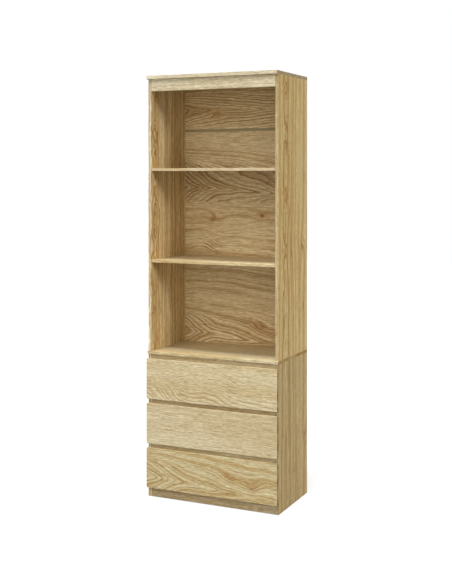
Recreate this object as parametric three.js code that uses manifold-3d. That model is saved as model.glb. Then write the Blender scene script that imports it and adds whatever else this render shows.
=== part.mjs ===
// Tall oak bookcase: three open compartments above three handleless drawers on roller runners.
// Millimetres, +Z up, fronts face -Y. The origin is on the floor under the middle of the cabinet.
import * as THREE from 'three';
import { mergeVertices } from 'three/addons/utils/BufferGeometryUtils.js';
import Module from 'manifold-3d';

const wasm = await Module();
wasm.setup();

// Overall sizes
const cabinetWidth = 600;
const cabinetDepth = 350;
const cabinetHeight = 1800;

// Boards
const boardThickness = 15;
const shelfThickness = 12;
const edgeEase = 0.8;
const seatGap = 0.3;

// Heights and overhangs
const compartmentCount = 3;
const middlePanelHeight = 610;
const middlePanelOverhang = 8;
const topRailHeight = 50;
const shelfSetback = 2;
const plinthHeight = 45;

// Back sheets, held in grooves of the side panels
const backThickness = 3;
const backInset = 9;
const grooveDepth = 6;
const grooveEndGap = 0.5;
const topSheetHeight = 208;
const jointStripHeight = 12;
const jointStripGauge = 1;

// Drawer fronts and the finger gaps above them
const drawerCount = 3;
const plinthOverlap = 5;
const fingerGap = 18;
const frontGap = 2;
const gripLand = 6;
const gripDrop = 18;
const gapRailHeight = 34;

// Drawer boxes
const boxThickness = 12;
const boxHeadroom = 20;
const boxRearSpace = 23;
const runnerSpace = 12.5;
const boxBaseThickness = 3;
const boxBaseRise = 10;

// Roller runners of folded steel
const runnerGauge = 1.2;
const runnerSetback = 2;
const runnerClearance = 2;
const runnerLipHeight = 3.5;
const runnerUpperFlange = 7;
const runnerStopHeight = 12;
const flangeHeadroom = 0.8;
const boxFlangeWidth = 10;
const boxSeatRise = 5;
const flangeReach = 3;

// Rollers and their riveted axles
const rollerRadius = 11.5;
const rollerWidth = 6;
const rollerChamfer = 0.5;
const rollerClearance = 0.2;
const rollerEndInset = 12.5;
const axleRadius = 2.5;
const axleClearance = 0.12;
const axleShoulder = 1.2;
const axleShoulderRadius = 3.5;
const rivetRadius = 4.2;
const rivetThickness = 0.8;
const rivetRecess = 1.1;
const rivetRecessRadius = 5;

// Bores for cam fittings, dowels and screws
const camRadius = 7.5;
const camSetback = 24;
const camSkin = 2.5;
const boltRadius = 3;
const boltDepth = 9;
const upperFittingInset = 50;
const lowerFittingInset = 80;
const dowelRadius = 4;
const dowelDepth = 10;
const screwHoleRadius = 1.8;
const screwEndInset = 45;
const cutOverrun = 1;

// Facets round a circle
const rollerFacets = 20;
const pinFacets = 10;
const camFacets = 14;
const smallFacets = 8;

// Places that follow from the sizes
const rightOuter = cabinetWidth / 2;
const rightInner = rightOuter - boardThickness;
const frontPlane = -cabinetDepth / 2;
const frontBack = frontPlane + boardThickness;
const carcassFront = frontBack + frontGap;
const carcassRear = cabinetDepth / 2;
const backRear = carcassRear - backInset;
const backFront = backRear - backThickness;
const topUnderside = cabinetHeight - boardThickness;
const backJointHeight = topUnderside - topSheetHeight;
const middlePanelTop = middlePanelHeight + shelfThickness;
const shelvesHeight = (compartmentCount - 1) * shelfThickness;
const shelfOpening = (topUnderside - middlePanelTop - shelvesHeight) / compartmentCount;
const bottomPanelHeight = plinthHeight - shelfThickness;
const lowestFrontHeight = plinthHeight - plinthOverlap;
const drawerPitch = (middlePanelHeight - lowestFrontHeight) / drawerCount;
const frontHeight = drawerPitch - fingerGap;
const runnerRise = (gapRailHeight - fingerGap) / 2 + runnerClearance;
const boxOuter = rightInner - runnerSpace;
const boxInner = boxOuter - boxThickness;
const boxRear = backFront - boxRearSpace;
const boxLift = runnerRise + boxSeatRise + runnerGauge;
const boxHeight = drawerPitch - gapRailHeight - boxHeadroom - boxLift;
const rollerOffset = runnerGauge + axleShoulder + rollerClearance;
const runnerLowerFlange = rollerOffset + rollerWidth + rollerClearance + runnerGauge;
const rollerAxisRise = runnerGauge + rollerClearance + rollerRadius;
const flangeUnderside = rollerAxisRise + rollerRadius + rollerClearance;
const runnerHeight = flangeUnderside + runnerGauge + flangeHeadroom + runnerGauge;
const runnerFront = carcassFront + runnerSetback;
const runnerRear = runnerFront + boxRear - frontBack;
const cabinetAxisDepth = runnerFront + rollerEndInset;
const drawerAxisDepth = boxRear - rollerEndInset;

const oak = { color: 0xcdb788, roughness: 0.55, metalness: 0 };
const oakBack = { color: 0xc0a573, roughness: 0.6, metalness: 0 };
const beech = { color: 0xd9c29a, roughness: 0.7, metalness: 0 };
const strip = { color: 0x7d6a46, roughness: 0.5, metalness: 0 };
const whiteSteel = { color: 0xe6e6e2, roughness: 0.35, metalness: 0.3 };
const nylon = { color: 0xf2f2ee, roughness: 0.4, metalness: 0 };

// A closed geometry becomes a solid once its shared corners are merged.
function toSolid(geometry, matrix = new THREE.Matrix4()) {
  const bare = geometry.clone().applyMatrix4(matrix);
  bare.deleteAttribute('normal');
  bare.deleteAttribute('uv');
  const merged = mergeVertices(bare);
  return new wasm.Manifold(new wasm.Mesh({
    numProp: 3,
    vertProperties: new Float32Array(merged.attributes.position.array),
    triVerts: new Uint32Array(merged.index.array),
  }));
}

function toGeometry(solid) {
  const { vertProperties, triVerts } = solid.getMesh();
  const geometry = new THREE.BufferGeometry();
  geometry.setAttribute('position', new THREE.BufferAttribute(new Float32Array(vertProperties), 3));
  geometry.setIndex(new THREE.BufferAttribute(new Uint32Array(triVerts), 1));
  geometry.computeVertexNormals();
  return geometry;
}

const cutAway = (solid, cutters) => cutters.reduce((left, cutter) => left.subtract(cutter), solid);
const joinAll = (solids) => solids.reduce((whole, solid) => whole.add(solid));

// Outline points are given in the two other axes in turning order:
// (y, z) along x, (z, x) along y and (x, y) along z.
const turnTo = {
  x: new THREE.Matrix4().set(0, 0, 1, 0, 1, 0, 0, 0, 0, 1, 0, 0, 0, 0, 0, 1),
  y: new THREE.Matrix4().set(0, 1, 0, 0, 0, 0, 1, 0, 1, 0, 0, 0, 0, 0, 0, 1),
  z: new THREE.Matrix4(),
};

function extrudeAlong(axis, outline, from, to) {
  const shape = new THREE.Shape(outline.map(([a, b]) => new THREE.Vector2(a, b)));
  const geometry = new THREE.ExtrudeGeometry(shape, { depth: to - from, bevelEnabled: false });
  geometry.translate(0, 0, from);
  return toSolid(geometry, turnTo[axis]);
}

// A board's section with its four long edges eased.
function easedSection([a0, a1], [b0, b1]) {
  return [
    [a0 + edgeEase, b0], [a1 - edgeEase, b0], [a1, b0 + edgeEase], [a1, b1 - edgeEase],
    [a1 - edgeEase, b1], [a0 + edgeEase, b1], [a0, b1 - edgeEase], [a0, b0 + edgeEase],
  ];
}

function board(grain, x, y, z) {
  const sides = { x: [y, z, x], y: [z, x, y], z: [x, y, z] }[grain];
  return extrudeAlong(grain, easedSection(sides[0], sides[1]), sides[2][0], sides[2][1]);
}

function block(x, y, z) {
  const geometry = new THREE.BoxGeometry(x[1] - x[0], y[1] - y[0], z[1] - z[0]);
  geometry.translate((x[0] + x[1]) / 2, (y[0] + y[1]) / 2, (z[0] + z[1]) / 2);
  return toSolid(geometry);
}

// A turned piece: its outline is given as (radius, place along the axis) and turned about +Z.
function turned(outline, facets) {
  const points = outline.map(([radius, along]) => new THREE.Vector2(radius, along));
  const lathe = new THREE.LatheGeometry(points, facets);
  return toSolid(lathe, new THREE.Matrix4().makeRotationX(Math.PI / 2));
}

function rod(radius, from, to, facets) {
  return turned([[0, from], [radius, from], [radius, to], [0, to]], facets);
}

// Places a piece made along +Z at a point, pointing along `into`, with its +X turned to `side`.
function placeAt(point, into, side) {
  const z = new THREE.Vector3(...into);
  const x = new THREE.Vector3(...side);
  const y = new THREE.Vector3().crossVectors(z, x);
  return new THREE.Matrix4().makeBasis(x, y, z).setPosition(...point);
}

const moved = (solid, matrix) => solid.transform(matrix.elements);
const mirrored = (solid) => solid.mirror([1, 0, 0]);

// Every board collects what is drilled into it and the dowels glued into it, and is finished when
// all are known. A fitting is made along +Z, from the face of one board into the end of the other.
const boards = new Map();

function addBoard(name, solid, material) {
  boards.set(name, { solid, material, drilled: [], dowels: [] });
}

// Cam fitting: a bolt hole in the face of one board, and in the board that butts on it a bore
// along its middle that meets the cam's pocket, which opens towards +X.
function drillCam(faceBoard, endBoard, thickness, matrix) {
  const pocketTurn = placeAt([0, 0, camSetback], [1, 0, 0], [0, 1, 0]);
  const pocket = rod(camRadius, camSkin - thickness / 2, thickness / 2 + cutOverrun, camFacets);
  const boltHole = rod(boltRadius, -boltDepth, cutOverrun, smallFacets);
  const endBore = rod(boltRadius, -cutOverrun, camSetback, smallFacets);
  boards.get(faceBoard).drilled.push(moved(boltHole, matrix));
  boards.get(endBoard).drilled.push(moved(endBore, matrix), moved(moved(pocket, pocketTurn), matrix));
}

// Dowel joint: the dowel is glued into the end of one board and goes into a hole in the other.
function addDowel(faceBoard, endBoard, matrix) {
  const glued = rod(dowelRadius, seatGap - dowelDepth, dowelDepth, smallFacets);
  const hole = rod(dowelRadius + seatGap, -dowelDepth, cutOverrun, smallFacets);
  boards.get(faceBoard).drilled.push(moved(hole, matrix));
  boards.get(endBoard).dowels.push(moved(glued, matrix));
}

const sides = [['left', -1], ['right', 1]];

// Side panels: a full-height board with a groove for the back sheet near its rear edge.
function sidePanel(sign, bottom, top) {
  const grooveFloor = rightInner + grooveDepth;
  const outline = [
    [rightInner + edgeEase, carcassFront], [rightOuter - edgeEase, carcassFront],
    [rightOuter, carcassFront + edgeEase], [rightOuter, carcassRear - edgeEase],
    [rightOuter - edgeEase, carcassRear], [rightInner + edgeEase, carcassRear],
    [rightInner, carcassRear - edgeEase],
    [rightInner, backRear + seatGap], [grooveFloor, backRear + seatGap],
    [grooveFloor, backFront - seatGap], [rightInner, backFront - seatGap],
    [rightInner, carcassFront + edgeEase],
  ];
  const right = extrudeAlong('z', outline, bottom, top);
  return sign > 0 ? right : mirrored(right);
}

const fullWidth = [-rightOuter, rightOuter];
const innerWidth = [-rightInner, rightInner];
const sheetWidth = [grooveEndGap - rightInner - grooveDepth, rightInner + grooveDepth - grooveEndGap];
const shelfDepth = [carcassFront + shelfSetback, backFront - seatGap];
const railDepth = [carcassFront, carcassFront + boardThickness];

// Shelves are numbered from the top, and a shelf's height is that of its underside.
const shelfHeight = (number) => topUnderside - number * (shelfOpening + shelfThickness);

function addUpperUnit() {
  addBoard('top_panel', board('x', fullWidth, [frontPlane, carcassRear], [topUnderside, cabinetHeight]), oak);
  for (const [side, sign] of sides) {
    addBoard(`upper_side_${side}`, sidePanel(sign, middlePanelTop, topUnderside), oak);
  }
  addBoard('top_rail', board('x', innerWidth, railDepth, [topUnderside - topRailHeight, topUnderside]), oak);
  for (let number = 1; number < compartmentCount; number += 1) {
    const height = shelfHeight(number);
    const span = [height, height + shelfThickness];
    addBoard(`shelf_${number}`, board('x', innerWidth, shelfDepth, span), oak);
  }
  const middleDepth = [carcassFront - middlePanelOverhang, carcassRear];
  addBoard('middle_panel', board('x', fullWidth, middleDepth, [middlePanelHeight, middlePanelTop]), oak);
}

// The upper back is two thin sheets, joined edge to edge by an H-shaped strip.
function addUpperBack() {
  const webHalf = jointStripGauge / 2;
  const sheetDepth = [backFront, backRear];
  const mainSheet = block(sheetWidth, sheetDepth, [middlePanelTop, backJointHeight - webHalf]);
  const topSheet = block(sheetWidth, sheetDepth, [backJointHeight + webHalf, topUnderside]);
  addBoard('back_panel_main', mainSheet, oakBack);
  addBoard('back_panel_top', topSheet, oakBack);
  const low = backJointHeight - jointStripHeight / 2;
  const high = backJointHeight + jointStripHeight / 2;
  const webLow = backJointHeight - webHalf;
  const webHigh = backJointHeight + webHalf;
  const outline = [
    [backFront - jointStripGauge, low], [backFront, low], [backFront, webLow],
    [backRear, webLow], [backRear, low], [backRear + jointStripGauge, low],
    [backRear + jointStripGauge, high], [backRear, high], [backRear, webHigh],
    [backFront, webHigh], [backFront, high], [backFront - jointStripGauge, high],
  ];
  addBoard('back_joint_strip', extrudeAlong('x', outline, seatGap - rightInner, rightInner - seatGap), strip);
}

const rearPlinthDepth = [backRear + backInset / 2 - boardThickness, backRear + backInset / 2];
const gapRailCentre = (index) => middlePanelHeight - index * drawerPitch - fingerGap / 2;

function addLowerUnit() {
  for (const [side, sign] of sides) {
    addBoard(`lower_side_${side}`, sidePanel(sign, 0, middlePanelHeight), oak);
  }
  const bottomDepth = [carcassFront + boardThickness, backFront - seatGap];
  addBoard('bottom_panel', board('x', innerWidth, bottomDepth, [bottomPanelHeight, plinthHeight]), oak);
  addBoard('plinth_front', board('x', innerWidth, railDepth, [0, plinthHeight]), oak);
  addBoard('plinth_rear', board('x', innerWidth, rearPlinthDepth, [0, bottomPanelHeight]), oak);
  const lowerSheet = block(sheetWidth, [backFront, backRear], [bottomPanelHeight, middlePanelHeight]);
  addBoard('back_panel_lower', lowerSheet, oakBack);
  const topRailSpan = [middlePanelHeight - gapRailHeight, middlePanelHeight];
  addBoard('gap_rail_1', board('x', innerWidth, railDepth, topRailSpan), oak);
  for (let index = 1; index < drawerCount; index += 1) {
    const centre = gapRailCentre(index);
    const span = [centre - gapRailHeight / 2, centre + gapRailHeight / 2];
    addBoard(`gap_rail_${index + 1}`, board('x', innerWidth, railDepth, span), oak);
  }
}

// Boards that butt on one another are held by two cams to a joint, where no cam can be seen.
// The upper sides stand on the middle panel on dowels, which leaves their inner faces plain.
function joinCabinet() {
  const upper = [carcassFront + upperFittingInset, backFront - upperFittingInset];
  const lower = [carcassFront + lowerFittingInset, backFront - lowerFittingInset];
  for (const [side, sign] of sides) {
    const middle = sign * (rightOuter - boardThickness / 2);
    const inwards = [-sign, 0, 0];
    for (const depth of upper) {
      drillCam('top_panel', `upper_side_${side}`, boardThickness,
        placeAt([middle, depth, topUnderside], [0, 0, -1], inwards));
      addDowel('middle_panel', `upper_side_${side}`,
        placeAt([middle, depth, middlePanelTop], [0, 0, 1], inwards));
    }
    for (const depth of lower) {
      drillCam('middle_panel', `lower_side_${side}`, boardThickness,
        placeAt([middle, depth, middlePanelHeight], [0, 0, -1], inwards));
    }
    const shelves = [['bottom_panel', 'lower_side', bottomPanelHeight]];
    for (let number = 1; number < compartmentCount; number += 1) {
      shelves.push([`shelf_${number}`, 'upper_side', shelfHeight(number)]);
    }
    for (const [shelf, panel, height] of shelves) {
      for (const depth of upper) {
        drillCam(`${panel}_${side}`, shelf, shelfThickness,
          placeAt([sign * rightInner, depth, height + shelfThickness / 2], inwards, [0, 0, -1]));
      }
    }
  }
}

// Rails and plinths are held by two dowels at each end, one above the other.
const dowelShares = [0.28, 0.72];

function addRailDowels() {
  const frontMiddle = carcassFront + boardThickness / 2;
  const rearMiddle = (rearPlinthDepth[0] + rearPlinthDepth[1]) / 2;
  const rails = [
    ['top_rail', 'upper_side', frontMiddle, topUnderside - topRailHeight, topRailHeight],
    ['plinth_front', 'lower_side', frontMiddle, 0, plinthHeight],
    ['plinth_rear', 'lower_side', rearMiddle, 0, bottomPanelHeight],
    ['gap_rail_1', 'lower_side', frontMiddle, middlePanelHeight - gapRailHeight, gapRailHeight],
  ];
  for (let index = 1; index < drawerCount; index += 1) {
    const bottom = gapRailCentre(index) - gapRailHeight / 2;
    rails.push([`gap_rail_${index + 1}`, 'lower_side', frontMiddle, bottom, gapRailHeight]);
  }
  for (const [rail, panel, depth, bottom, height] of rails) {
    for (const [side, sign] of sides) {
      for (const share of dowelShares) {
        addDowel(`${panel}_${side}`, rail,
          placeAt([sign * rightInner, depth, bottom + share * height], [-sign, 0, 0], [0, 0, 1]));
      }
    }
  }
}

// A nylon roller, made along +Z from the face towards its web, with a recess for the rivet head.
const rollerBore = axleRadius + axleClearance;
const roller = turned([
  [rollerBore, 0], [rollerRadius - rollerChamfer, 0], [rollerRadius, rollerChamfer],
  [rollerRadius, rollerWidth - rollerChamfer], [rollerRadius - rollerChamfer, rollerWidth],
  [rivetRecessRadius, rollerWidth], [rivetRecessRadius, rollerWidth - rivetRecess],
  [rollerBore, rollerWidth - rivetRecess], [rollerBore, 0],
], rollerFacets);

// The axle stands on its web: a shoulder up to the roller, the pin, and a rivet head in the recess.
function axle(shoulder) {
  const pinEnd = shoulder + rollerClearance + rollerWidth - rivetRecess + axleClearance;
  return turned([
    [0, -runnerGauge / 2], [axleShoulderRadius, -runnerGauge / 2], [axleShoulderRadius, shoulder],
    [axleRadius, shoulder], [axleRadius, pinEnd],
    [rivetRadius, pinEnd], [rivetRadius, pinEnd + rivetThickness], [0, pinEnd + rivetThickness],
  ], pinFacets);
}

// Both runners of a pair are drawn on the right, by their distance from the side panel and their
// rise over the cabinet runner's underside, and mirrored for the left.
const fromWall = (distance) => rightInner - distance;
const towardsCentre = [-1, 0, 0];
const towardsWall = [1, 0, 0];
const upwards = [0, 0, 1];

function runnerOutline(points, bottom) {
  return points.map(([distance, rise]) => [bottom + rise, fromWall(distance)]);
}

// Three screws hold a runner through its web.
function screwHoles(webFace, height, from, to) {
  const hole = rod(screwHoleRadius, -cutOverrun, runnerGauge + cutOverrun, smallFacets);
  const depths = [from + screwEndInset, (from + to) / 2, to - screwEndInset];
  return depths.map((depth) => moved(hole, placeAt([webFace, depth, height], towardsCentre, upwards)));
}

// Cabinet runner: a channel on the side panel, with a roller at its front end and a stop at its rear.
function cabinetRunner(bottom) {
  const outline = runnerOutline([
    [0, 0], [0, runnerHeight], [runnerUpperFlange, runnerHeight],
    [runnerUpperFlange, runnerHeight - runnerGauge], [runnerGauge, runnerHeight - runnerGauge],
    [runnerGauge, runnerGauge], [runnerLowerFlange - runnerGauge, runnerGauge],
    [runnerLowerFlange - runnerGauge, runnerLipHeight], [runnerLowerFlange, runnerLipHeight],
    [runnerLowerFlange, 0],
  ], bottom);
  const channel = extrudeAlong('y', outline, runnerFront, runnerRear);
  const stopAcross = [fromWall(runnerLowerFlange - runnerGauge), fromWall(runnerGauge / 2)];
  const stopSpan = [bottom + runnerGauge / 2, bottom + runnerStopHeight];
  const stop = block(stopAcross, [runnerRear - runnerGauge, runnerRear], stopSpan);
  const height = bottom + rollerAxisRise;
  const pin = axle(axleShoulder);
  const pinAt = placeAt([fromWall(runnerGauge), cabinetAxisDepth, height], towardsCentre, upwards);
  const rollerAt = placeAt([fromWall(rollerOffset), cabinetAxisDepth, height], towardsCentre, upwards);
  return {
    runner: cutAway(channel.add(stop).add(moved(pin, pinAt)),
      screwHoles(rightInner, height, runnerFront, runnerRear)),
    roller: moved(roller, rollerAt),
  };
}

// Drawer runner: an angle beside and under the drawer's side. Its upper flange rides on the
// cabinet runner's roller, and its own roller runs in the channel at the rear.
function drawerRunner(bottom) {
  const webFace = runnerSpace - runnerGauge;
  const outline = runnerOutline([
    [flangeReach, flangeUnderside], [flangeReach, flangeUnderside + runnerGauge],
    [runnerSpace, flangeUnderside + runnerGauge], [runnerSpace, boxSeatRise + runnerGauge],
    [runnerSpace + boxFlangeWidth, boxSeatRise + runnerGauge], [runnerSpace + boxFlangeWidth, boxSeatRise],
    [webFace, boxSeatRise], [webFace, flangeUnderside],
  ], bottom);
  const angle = extrudeAlong('y', outline, frontBack + seatGap, boxRear);
  const height = bottom + rollerAxisRise;
  const pin = axle(webFace - rollerOffset - rollerWidth - rollerClearance);
  const pinAt = placeAt([fromWall(webFace), drawerAxisDepth, height], towardsWall, upwards);
  const rollerBack = fromWall(rollerOffset + rollerWidth);
  const rollerAt = placeAt([rollerBack, drawerAxisDepth, height], towardsWall, upwards);
  return {
    runner: cutAway(angle.add(moved(pin, pinAt)),
      screwHoles(fromWall(webFace), height, frontBack, boxRear)),
    roller: moved(roller, rollerAt),
  };
}

// Drawer front: its top edge is bevelled behind, so that fingers reach over it from the gap.
function drawerFront(bottom) {
  const top = bottom + frontHeight;
  const baseLow = bottom + boxLift + boxBaseRise;
  const baseHigh = baseLow + boxBaseThickness;
  const outline = [
    [frontPlane + edgeEase, bottom], [frontBack - edgeEase, bottom], [frontBack, bottom + edgeEase],
    [frontBack, top - gripDrop], [frontPlane + gripLand, top],
    [frontPlane + edgeEase, top], [frontPlane, top - edgeEase], [frontPlane, bottom + edgeEase],
  ];
  const grooveAcross = [-boxInner - grooveDepth, boxInner + grooveDepth];
  const grooveReach = [frontBack - grooveDepth, frontBack + cutOverrun];
  const groove = block(grooveAcross, grooveReach, [baseLow, baseHigh + seatGap]);
  return extrudeAlong('x', outline, -rightOuter, rightOuter).subtract(groove);
}

// Drawer side: a board with a groove along its inner face for the thin base.
function drawerSide(sign, bottom) {
  const top = bottom + boxHeight;
  const baseLow = bottom + boxBaseRise;
  const baseHigh = baseLow + boxBaseThickness + seatGap;
  const outline = [
    [bottom, boxInner + edgeEase], [bottom, boxOuter - edgeEase], [bottom + edgeEase, boxOuter],
    [top - edgeEase, boxOuter], [top, boxOuter - edgeEase], [top, boxInner + edgeEase],
    [top - edgeEase, boxInner], [baseHigh, boxInner], [baseHigh, boxInner + grooveDepth],
    [baseLow, boxInner + grooveDepth], [baseLow, boxInner], [bottom + edgeEase, boxInner],
  ];
  const right = extrudeAlong('y', outline, frontBack, boxRear);
  return sign > 0 ? right : mirrored(right);
}

// Heights of the cam and dowels that hold a drawer's corners, as shares of the box height
const frontCamShare = 0.68;
const frontDowelShare = 0.32;
const backDowelShares = [0.34, 0.74];

function addDrawer(number, frontBottom) {
  const name = (piece) => `drawer_${number}_${piece}`;
  const bottom = frontBottom + boxLift;
  const baseLow = bottom + boxBaseRise;
  addBoard(name('front'), drawerFront(frontBottom), oak);
  for (const [side, sign] of sides) addBoard(name(`side_${side}`), drawerSide(sign, bottom), beech);
  const backDepth = [boxRear - boxThickness, boxRear];
  const backSpan = [baseLow + boxBaseThickness, bottom + boxHeight];
  addBoard(name('back'), board('x', [-boxInner, boxInner], backDepth, backSpan), beech);
  const baseAcross = [grooveEndGap - boxInner - grooveDepth, boxInner + grooveDepth - grooveEndGap];
  const baseDepth = [frontBack - grooveDepth + grooveEndGap, boxRear];
  addBoard(name('base'), block(baseAcross, baseDepth, [baseLow, baseLow + boxBaseThickness]), beech);
  const middle = boxOuter - boxThickness / 2;
  for (const [side, sign] of sides) {
    const frontCorner = (share) => placeAt(
      [sign * middle, frontBack, bottom + share * boxHeight], [0, 1, 0], [-sign, 0, 0]);
    const backCorner = (share) => placeAt(
      [sign * boxInner, boxRear - boxThickness / 2, bottom + share * boxHeight], [-sign, 0, 0], upwards);
    drillCam(name('front'), name(`side_${side}`), boxThickness, frontCorner(frontCamShare));
    addDowel(name('front'), name(`side_${side}`), frontCorner(frontDowelShare));
    for (const share of backDowelShares) addDowel(name(`side_${side}`), name('back'), backCorner(share));
  }
}

const bookcase = new THREE.Group();

function addNode(name, solid, material) {
  const mesh = new THREE.Mesh(toGeometry(solid), new THREE.MeshStandardMaterial(material));
  mesh.name = name;
  bookcase.add(mesh);
}

function addRunnerPairs(number, frontBottom) {
  const fixed = cabinetRunner(frontBottom + runnerRise);
  const sliding = drawerRunner(frontBottom + runnerRise);
  for (const [side, sign] of sides) {
    const onSide = (solid) => (sign > 0 ? solid : mirrored(solid));
    addNode(`cabinet_runner_${number}_${side}`, onSide(fixed.runner), whiteSteel);
    addNode(`cabinet_roller_${number}_${side}`, onSide(fixed.roller), nylon);
    addNode(`drawer_${number}_runner_${side}`, onSide(sliding.runner), whiteSteel);
    addNode(`drawer_${number}_roller_${side}`, onSide(sliding.roller), nylon);
  }
}

addUpperUnit();
addUpperBack();
addLowerUnit();
joinCabinet();
addRailDowels();
for (let number = 1; number <= drawerCount; number += 1) {
  const frontBottom = middlePanelHeight - number * drawerPitch;
  addDrawer(number, frontBottom);
  addRunnerPairs(number, frontBottom);
}
for (const [name, { solid, material, drilled, dowels }] of boards) {
  addNode(name, joinAll([cutAway(solid, drilled), ...dowels]), material);
}

export default bookcase;
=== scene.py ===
# %% [markdown]
# # A tall oak bookcase with three drawers
# The frame holds every board, drawer, runner and roller of the cabinet, each in its place.
# This lesson gives them oak, painted steel and nylon, adds the small metal fittings, and lights
# the whole as for a catalogue. The camera comes first, so that every look is judged through it.

# %% Load the frame
import math

import bpy
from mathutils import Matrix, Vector


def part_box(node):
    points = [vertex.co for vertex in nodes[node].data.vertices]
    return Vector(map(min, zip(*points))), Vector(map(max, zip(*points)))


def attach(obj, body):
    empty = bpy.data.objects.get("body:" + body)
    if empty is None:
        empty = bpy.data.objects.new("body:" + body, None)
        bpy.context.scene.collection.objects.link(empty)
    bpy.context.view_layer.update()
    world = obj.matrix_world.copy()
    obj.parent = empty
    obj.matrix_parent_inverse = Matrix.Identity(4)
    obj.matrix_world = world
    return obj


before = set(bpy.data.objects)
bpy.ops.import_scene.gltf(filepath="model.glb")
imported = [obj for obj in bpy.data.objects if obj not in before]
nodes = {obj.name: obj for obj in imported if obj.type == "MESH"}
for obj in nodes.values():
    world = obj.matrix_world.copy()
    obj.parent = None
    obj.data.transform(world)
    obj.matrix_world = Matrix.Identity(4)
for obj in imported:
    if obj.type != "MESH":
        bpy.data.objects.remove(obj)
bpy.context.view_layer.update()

# %% [markdown]
# ## The camera
# The cabinet was seen from its right, from a little over shelf height, with the lens held all but
# level and shifted down, so that the uprights stay upright. A level camera with a lens shift does
# the same; tilting the camera instead would make the sides lean together.

# %% Camera
PHOTO_WIDTH, PHOTO_HEIGHT = 452, 584
focal_pixels = 1044.6
optical_centre = (205.25, 177.83)
view_place = (1.8616, -4.0916, 1.3771)
view_turn = 0.4481
view_dip = 0.0029

lens = bpy.data.cameras.new("lens")
lens.sensor_width = 36
lens.lens = focal_pixels * lens.sensor_width / PHOTO_HEIGHT
lens.shift_x = (PHOTO_WIDTH / 2 - optical_centre[0]) / PHOTO_HEIGHT
lens.shift_y = (optical_centre[1] - PHOTO_HEIGHT / 2) / PHOTO_HEIGHT
camera = bpy.data.objects.new("camera", lens)
camera.location = view_place
camera.rotation_euler = (math.pi / 2 - view_dip, 0, view_turn)
bpy.context.collection.objects.link(camera)
bpy.context.scene.camera = camera
print("lens", round(lens.lens, 2), "mm, shift", round(lens.shift_x, 4), round(lens.shift_y, 4))

# %% [markdown]
# ## Small helpers for node trees
# A material here is a tree of nodes. A few helpers keep the trees short: they add a node and feed
# its sockets, do sums, ease from 0 to 1, mix colours, stretch noise along the grain, and start a
# group with named inputs and outputs.

# %% Node helpers
def feed(tree, socket, value):
    if isinstance(value, bpy.types.NodeSocket):
        tree.links.new(value, socket)
    else:
        socket.default_value = value


def add(tree, kind, values=(), **settings):
    """Adds a node. Values are a list in socket order (None skips one) or go by socket name."""
    node = tree.nodes.new(kind)
    for name, setting in settings.items():
        setattr(node, name, setting)
    pairs = values.items() if isinstance(values, dict) else enumerate(values)
    for socket, value in pairs:
        if value is not None:
            feed(tree, node.inputs[socket], value)
    return node


def sums(tree, operation, *values):
    return add(tree, "ShaderNodeMath", values, operation=operation).outputs[0]


def soft_step(tree, value, low, high):
    """Rises smoothly from 0 to 1 as the value goes from low to high."""
    step = add(tree, "ShaderNodeMapRange", {"Value": value, "From Min": low, "From Max": high},
               interpolation_type="SMOOTHSTEP")
    return step.outputs["Result"]


def mixed(tree, share, first, second, blend="MIX"):
    node = add(tree, "ShaderNodeMix", data_type="RGBA", blend_type=blend)
    for socket, value in ((0, share), (6, first), (7, second)):
        feed(tree, node.inputs[socket], value)
    return node.outputs[2]


def stretched_noise(tree, place, rates, detail):
    """Noise that changes so many times a metre: one rate along the grain, one across it."""
    along, across = rates
    scales = add(tree, "ShaderNodeCombineXYZ", [along, across, across]).outputs[0]
    stretched = add(tree, "ShaderNodeVectorMath", [place, scales], operation="MULTIPLY").outputs[0]
    return add(tree, "ShaderNodeTexNoise",
               {"Vector": stretched, "Scale": 1.0, "Detail": detail}).outputs["Fac"]


def seen(tree):
    """1 for rays that the eye follows, straight, mirrored or let through, and 0 for the rest."""
    rays = add(tree, "ShaderNodeLightPath").outputs
    return sums(tree, "MAXIMUM", rays["Is Camera Ray"],
                sums(tree, "MAXIMUM", rays["Is Glossy Ray"], rays["Is Transmission Ray"]))


def start_group(name, inputs, outputs):
    """Starts a shader node group; its inputs are named start values, its outputs named kinds."""
    group = bpy.data.node_groups.new(name, "ShaderNodeTree")
    for label, value in inputs.items():
        kind = "NodeSocketFloat"
        if isinstance(value, tuple):
            kind = "NodeSocketColor" if len(value) == 4 else "NodeSocketVector"
        group.interface.new_socket(label, in_out="INPUT", socket_type=kind).default_value = value
    for label, kind in outputs.items():
        group.interface.new_socket(label, in_out="OUTPUT", socket_type="NodeSocket" + kind)
    given = group.nodes.new("NodeGroupInput").outputs
    gives = group.nodes.new("NodeGroupOutput").inputs
    return group, given, gives


def tint(red, green, blue):
    """A colour as it looks on screen, 0 to 255 each, turned into the light values nodes use."""
    def light(level):
        share = level / 255
        return share / 12.92 if share <= 0.04045 else ((share + 0.055) / 1.055) ** 2.4
    return (light(red), light(green), light(blue), 1.0)


print("pale oak is", [round(part, 3) for part in tint(205, 186, 147)])

# %% [markdown]
# ## Where the grain runs
# Each board is veneered oak: on its faces the grain runs along the board, and each end is closed
# by a strip whose grain runs along the edge. One group takes a place on a board, turned so that X
# is along the grain, and swaps the directions on the ends, where the strip's tone comes in dashes.
# It also tells the long edges from the faces. Working from object coordinates keeps the pattern at
# real size and lets it wrap round.

# %% Board coordinates
SIDEWAYS = (0.6, 0.8)
DASH_RATES = (16, 30)
DASH_STEP = (0.42, 0.58)
DASH_SHARE = 0.45
FINE_DETAIL = 1.0


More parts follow.
